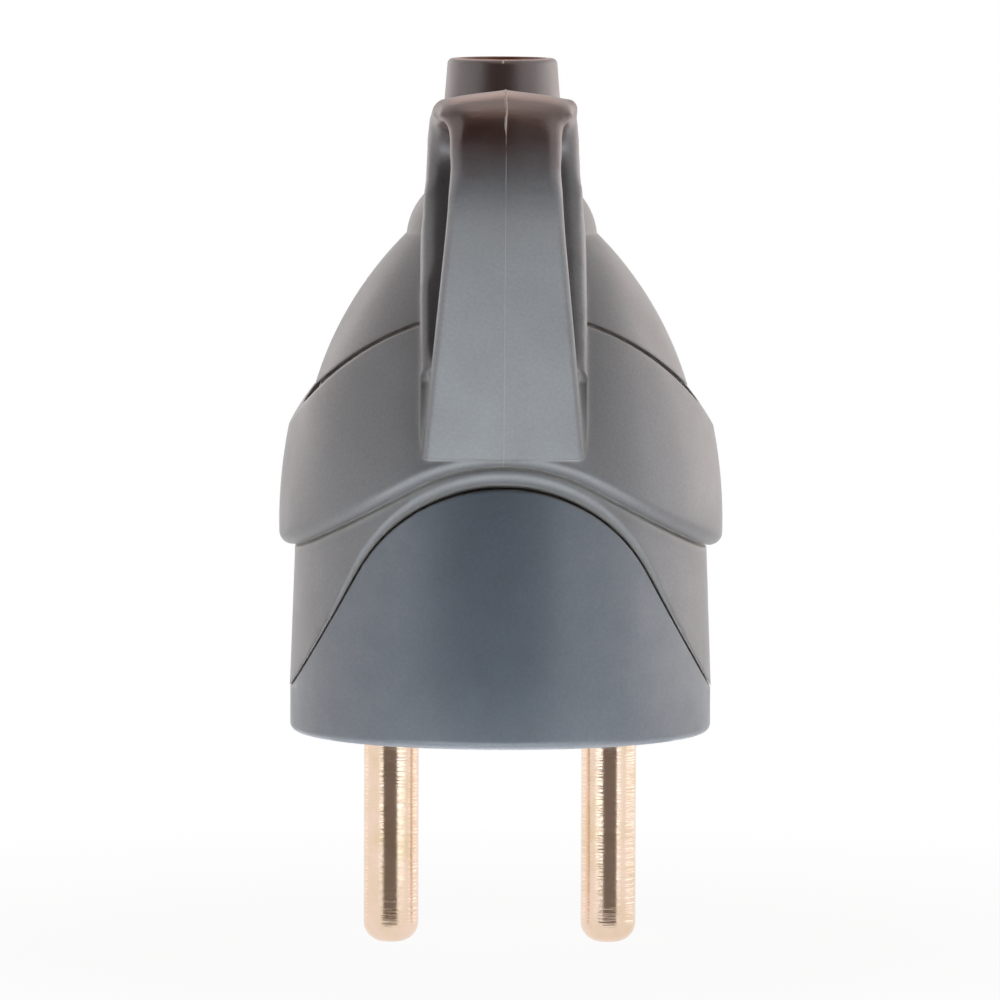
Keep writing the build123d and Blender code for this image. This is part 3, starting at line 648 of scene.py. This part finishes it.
def pale_floor():
    """Wide pale floor at the pins' tips: white to the camera, with a soft shadow left in it."""
    material, tree, shader = new_material("pale_floor")
    shader.inputs["Base Color"].default_value = (0.9, 0.9, 0.9, 1.0)
    shader.inputs["Roughness"].default_value = 0.9
    shader.inputs["Specular IOR Level"].default_value = 0.1
    white = add(tree, "ShaderNodeEmission")
    white.inputs["Strength"].default_value = 1.0
    away = add(tree, "ShaderNodeVectorMath", operation="LENGTH")
    join(tree, object_place(tree), away.inputs[0])
    clear = stretch(tree, away.outputs["Value"], SHADOW_NEAR, SHADOW_FAR, 0.94, 1.0)
    share = sum_of(tree, "MULTIPLY", seen_directly(tree), clear)
    mix_at_output(tree, share, shader.outputs["BSDF"], white.outputs["Emission"])
    mesh = bpy.data.meshes.new("pale_floor")
    shape = bmesh.new()
    bmesh.ops.create_circle(shape, cap_ends=True, segments=64, radius=FLOOR_RADIUS)
    bmesh.ops.translate(shape, verts=shape.verts, vec=(0, 0, PIN_TIP_LEVEL - FLOOR_GAP))
    shape.to_mesh(mesh)
    shape.free()
    mesh.materials.append(material)
    floor = bpy.data.objects.new("pale_floor", mesh)
    scene.collection.objects.link(floor)


def studio_world(level):
    """White surroundings to the eye and to polished metal, dim grey light to the part."""
    world = bpy.data.worlds.new("studio")
    world.use_nodes = True
    tree = world.node_tree
    tree.nodes.clear()
    sky = add(tree, "ShaderNodeBackground")
    sky.inputs["Color"].default_value = (1.0, 1.0, 1.0, 1.0)
    join(tree, stretch(tree, seen_directly(tree), 0.0, 1.0, level, 1.0), sky.inputs["Strength"])
    end = add(tree, "ShaderNodeOutputWorld")
    join(tree, sky.outputs["Background"], end.inputs["Surface"])
    scene.world = world


def dark_card(name, corners, glow, reach):
    """Dark card of the studio's camera side, seen only in reflections from within its reach."""
    material, tree, shader = new_material(name)
    shader.inputs["Base Color"].default_value = (0.01, 0.01, 0.012, 1.0)
    shader.inputs["Emission Color"].default_value = glow
    shader.inputs["Emission Strength"].default_value = 1.0
    shader.inputs["Roughness"].default_value = 1.0
    shader.inputs["Specular IOR Level"].default_value = 0.0
    clear = add(tree, "ShaderNodeBsdfTransparent")
    away = sum_of(tree, "GREATER_THAN", add(tree, "ShaderNodeLightPath").outputs["Ray Length"], reach)
    mix_at_output(tree, away, shader.outputs["BSDF"], clear.outputs["BSDF"])
    mesh = bpy.data.meshes.new(name)
    shape = bmesh.new()
    points = [shape.verts.new(corner) for corner in corners]
    for place in range(0, len(points) - 2, 2):
        shape.faces.new((points[place], points[place + 1], points[place + 3], points[place + 2]))
    shape.to_mesh(mesh)
    shape.free()
    mesh.materials.append(material)
    card = bpy.data.objects.new(name, mesh)
    scene.collection.objects.link(card)
    card.visible_camera = False
    card.visible_diffuse = False
    card.visible_shadow = False


def camera_side_sweep():
    """Dark sweep on the camera's side, along the table, up behind the camera and over the plug."""
    near, middle, far = 0.17, 0.3, 0.5
    low = PIN_TIP_LEVEL + CARD_GAP
    spread = tan(radians(28))
    left, right = -far * tan(radians(42)), far * spread
    lines = (
        (-near * spread, near * spread, -near, low),
        (-middle * spread, middle * spread, -middle, low),
        (left, right, -far, low),
        (left, right, -far, 0.4),
        (left, right, -0.35, 0.7),
        (left, right, -0.08, 0.85),
    )
    corners = [(x, y, z) for start, stop, y, z in lines for x in (start, stop)]
    dark_card("camera_side_sweep", corners, glow=(0.0, 0.0, 0.0, 1.0), reach=10.0)


def pin_cards():
    """Small dim card before each pin, for the dark band in its polish."""
    ahead = 10.0 * MM
    reach = 13.0 * MM
    low = PIN_TIP_LEVEL + CARD_GAP
    high = -0.3 * MM
    outer = PIN_X + ahead * tan(radians(31))
    inner = PIN_X - ahead * tan(radians(22))
    for name, side in (("left_pin_card", -1), ("right_pin_card", 1)):
        corners = [(side * x, -ahead, z) for z in (low, high) for x in (inner, outer)]
        dark_card(name, corners, glow=(0.16, 0.135, 0.12, 1.0), reach=reach)


def soft_lamp(name, place, aim, size, power, colour, glossy=True):
    """Soft oblong lamp turned to a point, with or without a reflection of its own."""
    lamp = bpy.data.lights.new(name, "AREA")
    lamp.shape = "RECTANGLE"
    lamp.size = size[0]
    lamp.size_y = size[1]
    lamp.energy = power
    lamp.color = colour
    item = bpy.data.objects.new(name, lamp)
    item.location = place
    item.rotation_euler = (Vector(aim) - Vector(place)).to_track_quat("-Z", "Y").to_euler()
    item.visible_camera = False
    item.visible_glossy = glossy
    scene.collection.objects.link(item)


def table_lamps():
    """Light that the bright table throws up: from its sides, from the front and from under the plug."""
    table = PIN_TIP_LEVEL + MM
    soft_lamp(
        "left_table_edge", place=(-0.22, 0, table), aim=(-0.1, 0, 0.5), size=(0.2, 0.3),
        power=0.95, colour=(0.98, 0.96, 1.0), glossy=False,
    )
    soft_lamp(
        "right_table_edge", place=(0.22, 0, table), aim=(0.1, 0, 0.5), size=(0.2, 0.3),
        power=1.0, colour=(1.0, 0.97, 0.97), glossy=False,
    )
    soft_lamp(
        "front_table_edge", place=(0, -0.06, table), aim=(0, -0.06, 1.0), size=(0.12, 0.05),
        power=0.036, colour=(0.8, 0.92, 1.0),
    )
    soft_lamp(
        "under_plug", place=(0, 0, table), aim=(0, 0, 1.0), size=(0.04, 0.04),
        power=0.035, colour=(1.0, 0.95, 0.9), glossy=False,
    )


def studio_softboxes():
    """Softboxes to the right and behind, warmer with height, and a small warm lamp over the ring."""
    side_size = (0.45, 0.5)
    plug_middle = (0, 0, 0.02)
    soft_lamp(
        "right_softbox", place=(0.45, 0.12, 0.06), aim=plug_middle, size=side_size,
        power=0.65, colour=(1.0, 0.95, 0.96),
    )
    soft_lamp(
        "left_back_softbox", place=(-0.42, 0.42, 0.08), aim=plug_middle, size=side_size,
        power=0.5, colour=(1.0, 0.85, 0.78),
    )
    soft_lamp(
        "right_back_softbox", place=(0.42, 0.42, 0.08), aim=plug_middle, size=side_size,
        power=0.5, colour=(1.0, 0.8, 0.7),
    )
    soft_lamp(
        "top_back_softbox", place=(0, 0.45, 0.5), aim=(0, 0, 0.04), size=(0.4, 0.3),
        power=0.6, colour=(1.0, 0.62, 0.5),
    )
    soft_lamp(
        "ring_glow", place=(0, -0.03, 0.1), aim=(0, -0.025, 0.05), size=(0.03, 0.03),
        power=0.0034, colour=(1.0, 0.66, 0.55),
    )


def product_camera():
    """Long lens a little above the plug, looking straight at its ring."""
    distance = 0.9
    rise = radians(4.45)
    lean = radians(0.2)
    swing = radians(0.7)
    aim = Vector((-0.08 * MM, 0, 20.13 * MM))
    lens = bpy.data.cameras.new("product_camera")
    lens.sensor_width = SENSOR_WIDTH
    lens.lens = SENSOR_WIDTH * distance / FRAME_WIDTH
    camera = bpy.data.objects.new("product_camera", lens)
    level = distance * cos(rise)
    camera.location = aim + Vector((-level * sin(swing), -level * cos(swing), distance * sin(rise)))
    turn = Quaternion((0, 0, 1), lean)
    camera.rotation_euler = ((aim - camera.location).to_track_quat("-Z", "Y") @ turn).to_euler()
    scene.collection.objects.link(camera)
    scene.camera = camera


pale_floor()
studio_world(0.01)
camera_side_sweep()
pin_cards()
table_lamps()
studio_softboxes()
product_camera()
scene.view_settings.view_transform = "Standard"
